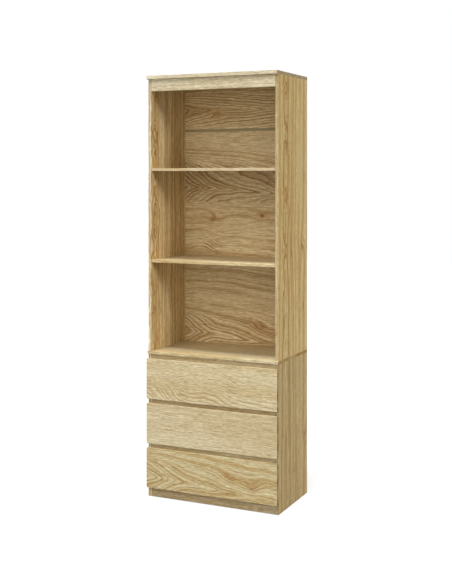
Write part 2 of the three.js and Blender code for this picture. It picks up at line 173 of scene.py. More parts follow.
def board_group():
    group, given, gives = start_group(
        "board coordinates",
        {"Place": (0.0, 0.0, 0.0), "Facing": (0.0, 0.0, 0.0)},
        {"Veneer": "Vector", "End": "Float", "Edge": "Float"})
    place = add(group, "ShaderNodeSeparateXYZ", [given["Place"]]).outputs
    facing = add(group, "ShaderNodeSeparateXYZ", [given["Facing"]]).outputs
    end = soft_step(group, sums(group, "ABSOLUTE", facing[0]), *SIDEWAYS)
    feed(group, gives["Edge"], soft_step(group, sums(group, "ABSOLUTE", facing[1]), *SIDEWAYS))
    strip = add(group, "ShaderNodeCombineXYZ", [place[1], place[2], place[0]]).outputs[0]
    swap = add(group, "ShaderNodeMix", data_type="VECTOR")
    for socket, value in ((0, end), (4, given["Place"]), (5, strip)):
        feed(group, swap.inputs[socket], value)
    feed(group, gives["Veneer"], swap.outputs[1])
    dashes = stretched_noise(group, strip, DASH_RATES, FINE_DETAIL)
    dashes = soft_step(group, dashes, *DASH_STEP)
    dashes = sums(group, "MULTIPLY_ADD", dashes, DASH_SHARE, 1.0 - DASH_SHARE)
    feed(group, gives["End"], sums(group, "MULTIPLY", end, dashes))
    return group


board_coordinates = board_group()
print("board coordinates give", [item.name for item in board_coordinates.interface.items_tree])

# %% [markdown]
# ## The figure of oak
# A tree adds a ring each year, and a flat board cuts these cones lengthwise. On the heart line the
# rings show as nested flames, hyperbolas in truth, and away from it as straight lines. So the
# figure is worked out as it grows: the root of (across squared + depth squared) is the way to the
# pith, the taper adds the climb along the board, and a division by the ring's width numbers the
# year. A small depth makes a pointed flame, and a flare bends its arms outwards. Past its tip the
# climb slows, the heart line may drop away, and the figure runs out into long lines. To its sides,
# in its flanks, it calms down, apart from eddies.

# %% Numbering the years
SWAY_RATES, WANDER_RATES, RIPPLE_RATES = (2.2, 7), (5.0, 4.0), (24, 150)
SOFT_DETAIL = 2.0
RIPPLE_DEPTH = 0.004
TIP_ROUNDING = 0.05
CLIMB_LOST = 0.85
FLANK_STEP = (0.7, 1.9)
DECADES_A_YEAR = 0.42
CROWDING = 1.3


def centred(group, noise):
    """Noise lies about a half, and this sets it about 0."""
    return sums(group, "SUBTRACT", noise, 0.5)


def ring_years(group, given, place):
    """The year that grew at a place, its decade's noise, and how far the place is in a flank."""
    along, across, through = add(group, "ShaderNodeSeparateXYZ", [given["Veneer"]]).outputs
    ahead = sums(group, "SUBTRACT", along, given["Tip"])
    rounded = sums(group, "SQRT", sums(group, "MULTIPLY_ADD", ahead, ahead, TIP_ROUNDING ** 2))
    past_tip = sums(group, "MULTIPLY", sums(group, "ADD", ahead, rounded), 0.5)
    sway = centred(group, stretched_noise(group, place, SWAY_RATES, SOFT_DETAIL))
    across = sums(group, "SUBTRACT", across, given["Heart"])
    across = sums(group, "MULTIPLY_ADD", past_tip, given["Drop"], across)
    across = sums(group, "MULTIPLY_ADD", sway, given["Waver"], across)
    aside = sums(group, "DIVIDE", sums(group, "ABSOLUTE", across), given["Flame Width"])
    flank = soft_step(group, aside, *FLANK_STEP)
    inside = sums(group, "SUBTRACT", 1.0, flank)
    reach = sums(group, "SQRT", sums(group, "ADD", sums(group, "MULTIPLY", across, across),
                                     sums(group, "MULTIPLY", given["Depth"], given["Depth"])))
    flare = sums(group, "MULTIPLY", reach, given["Flare"])
    flare = sums(group, "DIVIDE", flare, sums(group, "ADD", flare, 1.0))
    flare = sums(group, "MULTIPLY", sums(group, "MULTIPLY", flare, inside), -1.0)
    reach = sums(group, "MULTIPLY_ADD", reach, flare, reach)
    climb = sums(group, "MULTIPLY_ADD", past_tip, -CLIMB_LOST, ahead)
    climb = sums(group, "MULTIPLY", climb, inside)
    reach = sums(group, "MULTIPLY_ADD", climb, given["Taper"], reach)
    wander = centred(group, stretched_noise(group, place, WANDER_RATES, SOFT_DETAIL))
    reach = sums(group, "MULTIPLY_ADD", wander, given["Waver"], sums(group, "ADD", reach, through))
    ripple = stretched_noise(group, place, RIPPLE_RATES, SOFT_DETAIL)
    reach = sums(group, "MULTIPLY_ADD", ripple, RIPPLE_DEPTH, reach)
    years = sums(group, "ADD", sums(group, "DIVIDE", reach, given["Ring"]), given["Bend"])
    decades = sums(group, "MULTIPLY_ADD", years, DECADES_A_YEAR, given["Seed"])
    decade = add(group, "ShaderNodeTexNoise", {"W": decades, "Scale": 1.0, "Detail": FINE_DETAIL},
                 noise_dimensions="1D").outputs["Fac"]
    return sums(group, "MULTIPLY_ADD", decade, CROWDING, years), decade, flank


print("past its tip a flame keeps", round(1 - CLIMB_LOST, 2), "of its climb")

# %% [markdown]
# Each year then gets its masks: the porous early wood, the dense late wood, a strength of its own,
# and the fibres and pores that lie over all of them.

# %% Oak figure
EARLY_FADE, EARLY_START, LATE_RISE = (0.04, 0.46), (0.88, 1.0), (0.4, 0.72)
FLANK_CALM = 0.75
DRIFT_RATE = 1.4
FIBRE_RATES = ((13, 320), (45, 360))
FIBRE_GAIN, FIBRE_SHIFT = 0.8, -0.3
PORE_RATES, PORE_STEP = (90, 1000), (0.58, 0.68)
PORES_EARLY, PORES_ALWAYS = 0.8, 0.2


def figure_group():
    group, given, gives = start_group(
        "oak figure",
        {"Veneer": (0.0, 0.0, 0.0), "Heart": 0.0, "Drop": 0.0, "Depth": 0.01, "Flare": 0.0,
         "Taper": 0.1, "Ring": 0.004, "Waver": 0.03, "Tip": 0.0, "Flame Width": 5.0,
         "Stripes": 13.0, "Straw": 0.0, "Seed": 0.0, "Bend": 0.0, "Eddy": 0.0},
        {"Early": "Float", "Late": "Float", "Season": "Float", "Decade": "Float",
         "Drift": "Float", "Streak": "Float", "Pores": "Float"})
    shift = add(group, "ShaderNodeCombineXYZ", [given["Seed"], given["Seed"], given["Seed"]])
    place = add(group, "ShaderNodeVectorMath", [given["Veneer"], shift.outputs[0]],
                operation="ADD").outputs[0]
    years, decade, flank = ring_years(group, given, place)
    feed(group, gives["Decade"], decade)
    part = sums(group, "FRACT", years)
    fading = sums(group, "SUBTRACT", 1.0, soft_step(group, part, *EARLY_FADE))
    starting = soft_step(group, part, *EARLY_START)
    lively = sums(group, "MULTIPLY_ADD", flank, -FLANK_CALM, 1.0)
    lively = sums(group, "MAXIMUM", lively, given["Eddy"])
    early = sums(group, "MULTIPLY", sums(group, "MAXIMUM", fading, starting), lively)
    feed(group, gives["Early"], early)
    late = sums(group, "SUBTRACT", soft_step(group, part, *LATE_RISE), starting)
    feed(group, gives["Late"], sums(group, "MULTIPLY", late, lively))
    year = sums(group, "ADD", sums(group, "FLOOR", years), given["Seed"])
    feed(group, gives["Season"], add(group, "ShaderNodeTexWhiteNoise", {"W": year},
                                     noise_dimensions="1D").outputs["Value"])
    drift = stretched_noise(group, place, (DRIFT_RATE, given["Stripes"]), SOFT_DETAIL)
    feed(group, gives["Drift"], sums(group, "MULTIPLY_ADD", flank, given["Straw"], drift))
    fibres = sums(group, "ADD", *(stretched_noise(group, place, rates, FINE_DETAIL)
                                  for rates in FIBRE_RATES))
    feed(group, gives["Streak"], sums(group, "MULTIPLY_ADD", fibres, FIBRE_GAIN, FIBRE_SHIFT))
    ticks = soft_step(group, stretched_noise(group, place, PORE_RATES, FINE_DETAIL), *PORE_STEP)
    feed(group, gives["Pores"], sums(group, "MULTIPLY", ticks, sums(
        group, "MULTIPLY_ADD", early, PORES_EARLY, PORES_ALWAYS)))
    return group


oak_figure = figure_group()
oak_figure_sizes = [item.name for item in oak_figure.interface.items_tree
                    if item.in_out == "INPUT"]
print("oak figure takes", oak_figure_sizes)

# %% [markdown]
# ## Knots and eddies
# A small knot is where a twig began: the years swing round it, the wood about it is darker honey,
# and its middle is brown. Elsewhere the years only twist in a small eddy, with no knot to be seen.
# One group does both: Push swings the rings round, Twist slants them, and Dark colours the middle.
# Its Eddy output keeps the rings lively there, also in the calm flank of a figure.

# %% Knots
SWING_FADE = -0.6
EDDY_GAIN = 2.0
CORE_STEP = (0.3, 1.3)


def knot_group():
    group, given, gives = start_group(
        "knot", {"Veneer": (0.0, 0.0, 0.0), "Along": 0.0, "Across": 0.0, "Size": 0.006,
                 "Stretch": 2.8, "Push": 2.6, "Twist": 0.0, "Dark": 0.0},
        {"Bend": "Float", "Eddy": "Float", "Core": "Float", "Halo": "Float"})
    along, across, _ = add(group, "ShaderNodeSeparateXYZ", [given["Veneer"]]).outputs
    along = sums(group, "DIVIDE", sums(group, "SUBTRACT", along, given["Along"]), given["Size"])
    along = sums(group, "DIVIDE", along, given["Stretch"])
    across = sums(group, "DIVIDE", sums(group, "SUBTRACT", across, given["Across"]), given["Size"])
    reach = sums(group, "SQRT", sums(group, "ADD", sums(group, "MULTIPLY", along, along),
                                     sums(group, "MULTIPLY", across, across)))
    swing = sums(group, "EXPONENT", sums(group, "MULTIPLY", reach, SWING_FADE))
    turn = sums(group, "MULTIPLY_ADD", along, given["Twist"], given["Push"])
    feed(group, gives["Bend"], sums(group, "MULTIPLY", swing, turn))
    feed(group, gives["Eddy"], sums(group, "MULTIPLY", swing, EDDY_GAIN))
    core = sums(group, "SUBTRACT", 1.0, soft_step(group, reach, *CORE_STEP))
    feed(group, gives["Core"], sums(group, "MULTIPLY", core, given["Dark"]))
    feed(group, gives["Halo"], sums(group, "MULTIPLY", swing, given["Dark"]))
    return group


knot = knot_group()
print("a knot gives", [item.name for item in knot.interface.items_tree if item.in_out == "OUTPUT"])

# %% [markdown]
# ## The colour of oak
# The wood's ground colour drifts between pale straw and warm honey, partly in stripes of its own
# and partly in bands of years. The porous start of each year is a brown line, its end is pale and
# dense, its pores are darker ticks, and fine streaks lie over all. The same masks make the pores a
# little rougher and a little lower than the lacquered wood between them.

# %% Oak finish
LATE_WARMTH = -0.16
WARMTH_STEP = (0.33, 0.67)
SEASON_SHARE, LEAST_SEASON = 0.7, 0.4
STREAK_GAINS = (1.1, 1.35, 1.8)
PORE_SHARE, PORE_BROWN = 0.4, tint(120, 84, 44)
HALO_SHARE, HALO_HONEY = 0.7, tint(192, 136, 62)
CORE_BROWN = tint(134, 82, 20)
LACQUER_ROUGHNESS, EARLY_ROUGHNESS, PORE_ROUGHNESS = 0.46, 0.09, 0.2
EARLY_DEPTH, STREAK_HEIGHT = 0.35, 0.3


def finish_group():
    group, given, gives = start_group(
        "oak finish",
        {"Early": 0.0, "Late": 0.0, "Season": 0.5, "Decade": 0.5, "Drift": 0.5, "Streak": 0.5,
         "Pores": 0.0, "Core": 0.0, "Halo": 0.0, "End": 0.0, "Edge": 0.0,
         "Edge Tint": (1.0, 1.0, 1.0, 1.0), "Figure": 0.6, "Banding": 0.4,
         "Pale": (0.6, 0.5, 0.3, 1.0), "Honey": (0.5, 0.35, 0.17, 1.0),
         "Line": (0.35, 0.22, 0.1, 1.0), "Band": (0.5, 0.35, 0.17, 1.0)},
        {"Color": "Color", "Roughness": "Float", "Height": "Float"})
    warmth = sums(group, "MULTIPLY_ADD", centred(group, given["Decade"]), given["Banding"],
                  given["Drift"])
    pale_end = sums(group, "MULTIPLY", given["Late"], given["Figure"])
    warmth = sums(group, "MULTIPLY_ADD", pale_end, LATE_WARMTH, warmth)
    color = mixed(group, soft_step(group, warmth, *WARMTH_STEP), given["Pale"], given["Honey"])
    strength = sums(group, "MULTIPLY_ADD", given["Season"], SEASON_SHARE, LEAST_SEASON)
    strength = sums(group, "MULTIPLY", strength, given["Figure"])
    color = mixed(group, sums(group, "MULTIPLY", given["Early"], strength), color, given["Line"])
    color = mixed(group, sums(group, "MULTIPLY", given["Pores"], PORE_SHARE), color, PORE_BROWN)
    color = mixed(group, sums(group, "MULTIPLY", given["Halo"], HALO_SHARE), color, HALO_HONEY)
    color = mixed(group, given["Core"], color, CORE_BROWN)
    color = mixed(group, given["End"], color, given["Band"])
    fibre = centred(group, given["Streak"])
    streak = add(group, "ShaderNodeCombineColor", [
        sums(group, "MULTIPLY_ADD", fibre, gain, 1.0) for gain in STREAK_GAINS]).outputs[0]
    color = mixed(group, 1.0, color, streak, "MULTIPLY")
    # On the long edges the colour is multiplied by the Edge Light tint: painted light where a
    # board's front edges catch the lamps in front.
    color = mixed(group, given["Edge"], color, given["Edge Tint"], "MULTIPLY")
    feed(group, gives["Color"], color)
    rough = sums(group, "MULTIPLY_ADD", given["Early"], EARLY_ROUGHNESS, LACQUER_ROUGHNESS)
    rough = sums(group, "MULTIPLY_ADD", given["Pores"], PORE_ROUGHNESS, rough)
    feed(group, gives["Roughness"], rough)
    low = sums(group, "MULTIPLY_ADD", given["Early"], EARLY_DEPTH, given["Pores"])
    feed(group, gives["Height"], sums(group, "MULTIPLY_ADD", given["Streak"], STREAK_HEIGHT,
                                      sums(group, "MULTIPLY", low, -1.0)))
    return group


oak_finish = finish_group()
print("oak finish gives", [item.name for item in oak_finish.interface.items_tree
                           if item.in_out == "OUTPUT"])

# %% [markdown]
# ## A material for each board
# No two boards are cut from one place in a tree, so each gets a material of its own: the same
# groups with its own heart line, depth, taper and seed. The way along the grain is given by axis
# letters, such as "xzy" for a drawer front: along X, across Z, through Y. How much a lacquer
# mirrors is one plain number for each material, its Gloss.

# %% Oak materials
PALE = tint(216, 201, 164)
HONEY = tint(200, 176, 130)
LINE = tint(163, 131, 84)
BAND = tint(196, 172, 128)
MASKS = ("Early", "Late", "Season", "Decade", "Drift", "Streak", "Pores")
TONES = {"Pale": PALE, "Honey": HONEY, "Line": LINE, "Band": BAND}
QUIET_TONES = {**TONES, "Pale": tint(213, 197, 158), "Honey": tint(203, 182, 139)}
UNTINTED = (1.0, 1.0, 1.0, 1.0)
USUAL_GLOSS, USUAL_BANDING = 0.3, 0.4
LEAF_SEAM = 0.0004
RELIEF_STRENGTH, RELIEF_DEPTH = 0.25, 0.0003


def use(tree, group, values):
    node = add(tree, "ShaderNodeGroup", node_tree=group)
    for name, value in values.items():
        feed(tree, node.inputs[name], value)
    return node.outputs


def turned(tree, vector, axes):
    parts = add(tree, "ShaderNodeSeparateXYZ", [vector]).outputs
    return add(tree, "ShaderNodeCombineXYZ", [parts["xyz".index(axis)] for axis in axes]).outputs[0]


def surface(name, **plain):
    """A material with one Principled shader; plain settings go by socket name."""
    material = bpy.data.materials.new(name)
    material.use_nodes = True
    tree = material.node_tree
    shader = tree.nodes["Principled BSDF"]
    for label, value in plain.items():
        shader.inputs[label.replace("_", " ")].default_value = value
    return material, tree, shader


def grown(tree, veneer, figure, bend=0.0, eddy=0.0):
    """The masks of one leaf of veneer; the figure's sizes are named as the group's inputs are."""
    sizes = {name: size for name, size in figure.items() if name in oak_figure_sizes}
    return use(tree, oak_figure, {"Veneer": veneer, "Bend": bend, "Eddy": eddy, **sizes})


def oak(name, axes, figure, tones, knots=(), next_leaf=None, leaf_joint=0.0):
    """Oak for one board. A second leaf of veneer may lie across the grain past the leaf joint."""
    material, tree, shader = surface(name, Specular_IOR_Level=figure.get("Gloss", USUAL_GLOSS))
    place = add(tree, "ShaderNodeTexCoord")
    board = use(tree, board_coordinates, {
        "Place": turned(tree, place.outputs["Object"], axes),
        "Facing": turned(tree, place.outputs["Normal"], axes)})
    bend, eddy, core, halo = 0.0, 0.0, 0.0, 0.0
    for sizes in knots:
        twig = use(tree, knot, {"Veneer": board["Veneer"], **sizes})
        bend = sums(tree, "ADD", twig["Bend"], bend)
        eddy = sums(tree, "MAXIMUM", twig["Eddy"], eddy)
        core = sums(tree, "MAXIMUM", twig["Core"], core)
        halo = sums(tree, "MAXIMUM", twig["Halo"], halo)
    leaf = grown(tree, board["Veneer"], figure, bend, eddy)
    masks = {mask: leaf[mask] for mask in MASKS}
    if next_leaf:
        across = add(tree, "ShaderNodeSeparateXYZ", [board["Veneer"]]).outputs[1]
        past = soft_step(tree, across, leaf_joint - LEAF_SEAM, leaf_joint + LEAF_SEAM)
        other = grown(tree, board["Veneer"], next_leaf)
        for mask in MASKS:
            both = add(tree, "ShaderNodeMix", [past, None, masks[mask], other[mask]])
            masks[mask] = both.outputs[0]
    wood = use(tree, oak_finish, {
        **masks, **tones, "Core": core, "Halo": halo, "End": board["End"], "Edge": board["Edge"],
        "Figure": figure["Figure"], "Banding": figure.get("Banding", USUAL_BANDING),
        "Edge Tint": figure.get("Edge Tint", UNTINTED)})
    feed(tree, shader.inputs["Base Color"], wood["Color"])
    feed(tree, shader.inputs["Roughness"], wood["Roughness"])
    bump = add(tree, "ShaderNodeBump", {"Strength": RELIEF_STRENGTH, "Distance": RELIEF_DEPTH,
                                        "Height": wood["Height"]})
    feed(tree, shader.inputs["Normal"], bump.outputs["Normal"])
    return material


def scaled_for_tone_and_light(tones, *shares):
    """The same tones times one share, or times shares of their red, green and blue; most boards use
    it for painted light and shade, the fronts for their veneer's own tone.
    """
    if len(shares) == 1:
        shares *= 3
    return {name: (*(part * share for part, share in zip(tone, shares)), 1.0)
            for name, tone in tones.items()}


def dress(name, material):
    """Gives a node its material, in every slot that it has."""
    for slot in nodes[name].material_slots:
        slot.material = material
    print(name, "is", material.name)


def middle(name):
    low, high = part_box(name)
    return (low + high) / 2


print("oak runs from", [round(part, 2) for part in PALE[:3]], "to",
      [round(part, 2) for part in LINE[:3]])

# %% [markdown]
# ## Drawer fronts
# The top front is cut from the flank of a flame whose arms run along its lower edge, and has two
# eddies. The middle one is quiet. The lowest shows a bold flame that points right from its left
# end, and two honey eddies. The ends are closed with a brown strip, darkened further as painted
# shade of the narrow gap beside the sides. Each front has its own share of red, green and blue,
# as no two leaves of veneer are of one colour.

# %% Drawer fronts
def spot(along, across, size, **more):
    """A knot or an eddy at a place on a board; more settings go by the group's input names."""
    return {"Along": along, "Across": across, "Size": size, **more}


def flame(heart, seed, **more):
    """A bold flame that points right, with its tip left of the middle, and long lines past it."""
    return {"Heart": heart, "Depth": 0.006, "Flare": 8.0, "Taper": 0.36, "Drop": 0.1,
            "Tip": -0.13, "Ring": 0.011, "Waver": 0.035, "Flame Width": 0.075, "Straw": -0.12,
            "Seed": seed, "Figure": 0.9, "Banding": 2.2, **more}


front_figures = {
    1: flame(0.41, 3.1, Figure=0.6, Banding=0.4, Straw=0.0, Gloss=0.15),
    2: {"Heart": 0.1, "Depth": 0.02, "Taper": 0.02, "Ring": 0.005, "Waver": 0.03, "Seed": 5.7,
        "Figure": 0.15, "Gloss": 0.15},
    3: flame(0.09, 17.4, Figure=0.75, Gloss=0.15)}
front_spots = {
    1: (spot(-0.163, 0.508, 0.022, Stretch=1.2, Push=0.3, Twist=2.8),
        spot(0.092, 0.498, 0.02, Stretch=1.6, Push=0.3, Twist=2.8)),
    2: (),
    3: (spot(0.09, 0.136, 0.02, Stretch=1.8, Push=1.8, Twist=0.8, Dark=0.25),
        spot(0.2, 0.1, 0.016, Stretch=1.6, Push=1.5, Twist=-0.8, Dark=0.2))}
front_tones = {1: QUIET_TONES, 2: QUIET_TONES, 3: TONES}
front_shares = {1: (1.005, 1.015, 1.02), 2: (0.98, 0.995, 1.025), 3: (0.875, 0.86, 0.775)}
# The fronts' end strip: brown wood, darkened further as painted shade of the gap beside the sides
FRONT_END_AND_GAP_SHADE = tint(112, 82, 26)
for number, figure in front_figures.items():
    tones = {**scaled_for_tone_and_light(front_tones[number], *front_shares[number]), "Band": FRONT_END_AND_GAP_SHADE}
    dress(f"drawer_{number}_front", oak(f"oak front {number}", "xzy", figure, tones,
                                        front_spots[number]))

# %% [markdown]
# ## Side panels
# The sides are one length of oak from top to floor, cut between the units, with upright stripes.
# Small honey eddies are strung along the heart line, some a little beside it, and the right side
# has a few knots more. They look a shade warmer than the fronts. The lower right unit is darker
# than the upper one, a painted shade, and the front edges of the sides get a paler, bluer tint, a
# painted highlight.

# %% Side panels
side_tones = {"left": {"Pale": tint(222, 202, 157), "Honey": tint(200, 168, 114),
                       "Line": tint(160, 120, 64), "Band": BAND},
              "right": {"Pale": tint(228, 200, 137), "Honey": tint(206, 168, 98),
                        "Line": tint(160, 112, 40), "Band": BAND}}
heart_lines = {"left": -0.126, "right": -0.078}
# Each mark: its height, how far it lies beside the heart line, its size and its twist
heart_marks = ((1.7, 0.002, 0.005, 1.6), (1.575, 0.0, 0.007, -1.4), (1.53, -0.006, 0.005, 1.8),
               (1.478, 0.003, 0.007, 1.5), (1.3, -0.042, 0.004, -1.6), (1.262, 0.005, 0.006, 1.8),
               (1.225, 0.042, 0.004, 1.4), (1.205, -0.004, 0.005, 1.6),
               (1.128, -0.007, 0.007, -1.8), (1.04, -0.018, 0.004, 1.6),
               (0.89, -0.02, 0.005, 1.5), (0.79, -0.016, 0.005, -1.5))
side_knots = {"left": (), "right": (
    spot(1.074, 0.112, 0.014, Stretch=1.6, Push=3.0, Twist=3.0, Dark=0.4),
    spot(0.815, 0.128, 0.006, Dark=0.6, Push=1.5),
    spot(1.08, -0.012, 0.012, Stretch=5.0, Push=2.2, Dark=0.25),
    spot(0.139, 0.015, 0.005, Stretch=1.6, Push=1.0, Dark=0.7),
    spot(0.263, 0.146, 0.012, Stretch=1.6, Push=2.0, Twist=2.0, Dark=0.4))}
# Front edges of the sides paler and bluer: a painted highlight
side_edge_painted_light = {"left": (1.04, 1.2, 1.55, 1.0), "right": (0.98, 1.13, 1.82, 1.0)}
# Shares of each unit's tones; the lower right one is darker than the upper, a painted shade
side_unit_shades = {"upper_left": (1.06,), "lower_left": (1.06,), "upper_right": (0.915, 0.925, 0.91),
               "lower_right": (0.735, 0.735, 0.73)}
side_seeds = {"left": 11.3, "right": 14.9}
for side, seed in side_seeds.items():
    heart = heart_lines[side]
    side_spots = [spot(height, heart + aside, size, Dark=0.5, Stretch=4.0, Push=0.9, Twist=twist)
                  for height, aside, size, twist in heart_marks]
    side_spots += side_knots[side]
    figure = {"Heart": heart, "Depth": 0.006, "Taper": 0.03, "Tip": 0.9, "Ring": 0.011,
              "Waver": 0.02, "Flame Width": 0.05, "Stripes": 26.0, "Seed": seed, "Figure": 0.9,
              "Banding": 1.8, "Gloss": 0.15, "Edge Tint": side_edge_painted_light[side]}
    for unit in ("upper", "lower"):
        tones = scaled_for_tone_and_light(side_tones[side], *side_unit_shades[f"{unit}_{side}"])
        dress(f"{unit}_side_{side}", oak(f"oak {unit} {side}", "zyx", figure, tones, side_spots))

# %% [markdown]
# ## Top, shelves and rails
# Flat boards run their grain from left to right, and so do the rail, the plinths and the rails
# behind the finger gaps. Each board's tones carry painted light and shade. The faces of the flat
# boards are darker, a painted shade, and their front edges, closed with a strip, get a paler,
# bluer tint, a painted light from the lamps in front. The top rail is much lighter and bluer,
# painted light in the shade under the top; the first gap rail and the front plinth are darker,
# painted shade under the middle panel and the lowest front, and the lower gap rails a little
# lighter, painted light in their recess. The middle panel turns from straw in front to a darker
# honey deep inside, a painted shade of the compartment, and its ends make the dark seam across
# the sides: a brown end strip, darkened as painted shadow of the joint.

# %% Flat boards and rails
flat_boards = ["top_panel", "shelf_1", "shelf_2", "middle_panel", "bottom_panel"]
rails = ["top_rail", "gap_rail_1", "gap_rail_2", "gap_rail_3", "plinth_front", "plinth_rear"]
# Each board's share of its tones: painted shade where it is below 1, painted light where it is
# above
painted_light_shares = {"top_panel": (0.72, 0.7, 0.68), "top_rail": (1.3, 1.4, 1.63),
                "shelf_1": (0.79, 0.755, 0.745), "shelf_2": (0.92, 0.885, 0.84),
                "middle_panel": (0.912, 0.943, 0.972), "gap_rail_1": (0.84, 0.82, 0.78),
                "gap_rail_2": (1.06, 1.05, 1.05), "gap_rail_3": (1.06, 1.05, 1.05),
                "plinth_front": (0.71, 0.67, 0.63)}
# Front edges of the flat boards paler and bluer: painted light from the lamps in front
flat_edge_painted_light = {"top_panel": (1.53, 1.67, 1.93, 1.0), "shelf_1": (1.3, 1.3, 1.3, 1.0),
               "shelf_2": (1.06, 1.04, 0.97, 1.0), "middle_panel": (1.11, 1.12, 1.14, 1.0)}
HEART_ASIDE = 0.06
# Flat boards without a share of their own, the bottom here, are darker: painted shade
FLAT_PAINTED_SHADE = (0.8, 0.8, 0.8)
FIRST_SEED, SEED_STEP = 20.0, 1.7
for index, name in enumerate(flat_boards + rails):
    flat = name in flat_boards
    axes = "xyz" if flat else "xzy"
    heart = middle(name)["xyz".index(axes[1])] + HEART_ASIDE
    figure = {"Heart": heart, "Depth": 0.02, "Taper": 0.05, "Ring": 0.0045, "Waver": 0.05,
              "Seed": FIRST_SEED + SEED_STEP * index, "Figure": 0.35, "Gloss": 0.1,
              "Edge Tint": flat_edge_painted_light.get(name, UNTINTED)}
    tones = scaled_for_tone_and_light(QUIET_TONES if name == "top_rail" else TONES,
                *painted_light_shares.get(name, FLAT_PAINTED_SHADE if flat else (1.0,)))
    if name == "middle_panel":
        # Straw in front and darker honey deep inside: a painted shade of the compartment's depth
        figure.update({"Heart": -0.17, "Flame Width": 0.11, "Straw": 0.7})
        # The ends: a brown end strip, darkened as painted shadow of the joint between the units,
        # which makes the seam
        tones["Band"] = tint(158, 112, 20)
    dress(name, oak(f"oak {name}", axes, figure, tones))

# %% [markdown]
# ## Back sheets
# The thin back is laid up from leaves of veneer. Broad flames lie on their side, cut off where
# one leaf meets the next, and there are a few small knots. The top sheet is a little lighter than
# the rest, a painted light.

# %% Back sheets
back_tones = {"Pale": tint(219, 196, 148), "Honey": tint(195, 164, 114),
              "Line": tint(142, 100, 54), "Band": BAND}
top_leaf = flame(1.663, 31.0, Flare=3.0, Taper=0.14, Tip=0.0, Ring=0.009, Drop=0.0, Banding=1.2)
top_spots = (spot(-0.266, 1.663, 0.012), spot(-0.13, 1.655, 0.009, Dark=0.3))
# The top sheet's tones are raised by a share: a painted light in the top compartment
dress("back_panel_top", oak("oak back top", "xzy", top_leaf, scaled_for_tone_and_light(back_tones, 1.12), top_spots))
LEAF_JOINT = 1.255
low_leaf = flame(0.664, 34.0, Banding=1.6)
high_leaf = flame(1.322, 38.0, Taper=0.3, Flare=20.0, Ring=0.0075, Straw=-0.35, Banding=1.8,
                  **{"Flame Width": 0.12})
main_spots = (spot(-0.145, 1.178, 0.013, Stretch=1.4, Twist=3.0, Dark=0.55),
              spot(0.094, 1.196, 0.008, Stretch=1.4, Dark=0.8),
              spot(-0.155, 1.065, 0.02, Stretch=1.2, Push=0.5, Twist=2.2),
              spot(0.09, 0.71, 0.02, Stretch=1.8, Push=1.8, Twist=0.8, Dark=0.25))
dress("back_panel_main", oak("oak back main", "xzy", low_leaf, back_tones, main_spots, high_leaf,
                             LEAF_JOINT))
dress("back_panel_lower", oak("oak back lower", "xzy", flame(0.3, 41.0), back_tones))

# %% [markdown]
# ## Drawer boxes
# Behind the oak fronts the boxes are plain pale board with a quiet straight grain.

# %% Drawer boxes
box_tones = {"Pale": tint(222, 208, 178), "Honey": tint(208, 190, 152),
             "Line": tint(186, 160, 118), "Band": tint(208, 190, 152)}
box_axes = {"side_left": "yzx", "side_right": "yzx", "back": "xzy", "base": "xyz"}
BOX_SEED = 40.0
for number in front_figures:
    for index, (piece, axes) in enumerate(box_axes.items()):
        figure = {"Heart": 0.02, "Depth": 0.02, "Taper": 0.02, "Ring": 0.004, "Waver": 0.03,
                  "Seed": BOX_SEED + len(box_axes) * number + index, "Figure": 0.25}
        dress(f"drawer_{number}_{piece}", oak(f"box board {number} {piece}", axes, figure,
                                              box_tones))

# %% [markdown]
# ## Steel, nylon and the joint strip
# The runners are folded steel with a white powder coat, which dries in a faint orange peel. The
# rollers are turned nylon, and the strip between the back sheets is drawn plastic.

# %% Steel, nylon and strip
SPECKLE_STRENGTH = 0.3


def speckle_group():
    group, given, gives = start_group(
        "speckle", {"Scale": 400.0, "Low": (0.5, 0.5, 0.5, 1.0), "High": (0.6, 0.6, 0.6, 1.0)},
        {"Color": "Color", "Height": "Float"})
    place = add(group, "ShaderNodeTexCoord").outputs["Object"]
    noise = add(group, "ShaderNodeTexNoise", {"Vector": place, "Scale": given["Scale"],
                                              "Detail": SOFT_DETAIL}).outputs["Fac"]
    feed(group, gives["Color"], mixed(group, noise, given["Low"], given["High"]))
    feed(group, gives["Height"], noise)
    return group


speckle = speckle_group()


def plain_finish(name, low, high, scale, depth, **settings):
    """One colour with fine speckles between two tints, so many a metre and so deep."""
    material, tree, shader = surface(name, **settings)
    grain = use(tree, speckle, {"Scale": scale, "Low": low, "High": high})
    feed(tree, shader.inputs["Base Color"], grain["Color"])
    bump = add(tree, "ShaderNodeBump", {"Strength": SPECKLE_STRENGTH, "Distance": depth,
                                        "Height": grain["Height"]})
    feed(tree, shader.inputs["Normal"], bump.outputs["Normal"])
    return material


white_coat = plain_finish("white powder coat", tint(222, 222, 218), tint(232, 232, 228), 900.0,
                          0.0001, Roughness=0.35)
roller_nylon = plain_finish("roller nylon", tint(236, 235, 228), tint(242, 241, 236), 300.0,
                            0.00005, Roughness=0.42)
strip_plastic = plain_finish("strip plastic", tint(150, 134, 92), tint(158, 142, 98), 500.0,
                             0.00005, Roughness=0.5)
zinc = plain_finish("zinc plate", tint(190, 190, 186), tint(206, 206, 204), 700.0, 0.00005,
                    Roughness=0.34, Metallic=1.0)
for name in nodes:
    if "_runner_" in name:
        dress(name, white_coat)
    elif "_roller_" in name:
        dress(name, roller_nylon)
dress("back_joint_strip", strip_plastic)

# %% [markdown]
# ## Cam discs and runner screws
# Every butt joint is drawn tight by a cam: a zinc disc with a cross in its face, turned in a
# round pocket. The runners are held by countersunk screws with the same cross. Both repeat many
# times, so one Geometry Nodes tree makes a head with a cross cut into it and sets it on points;
# each point knows which way its head faces.

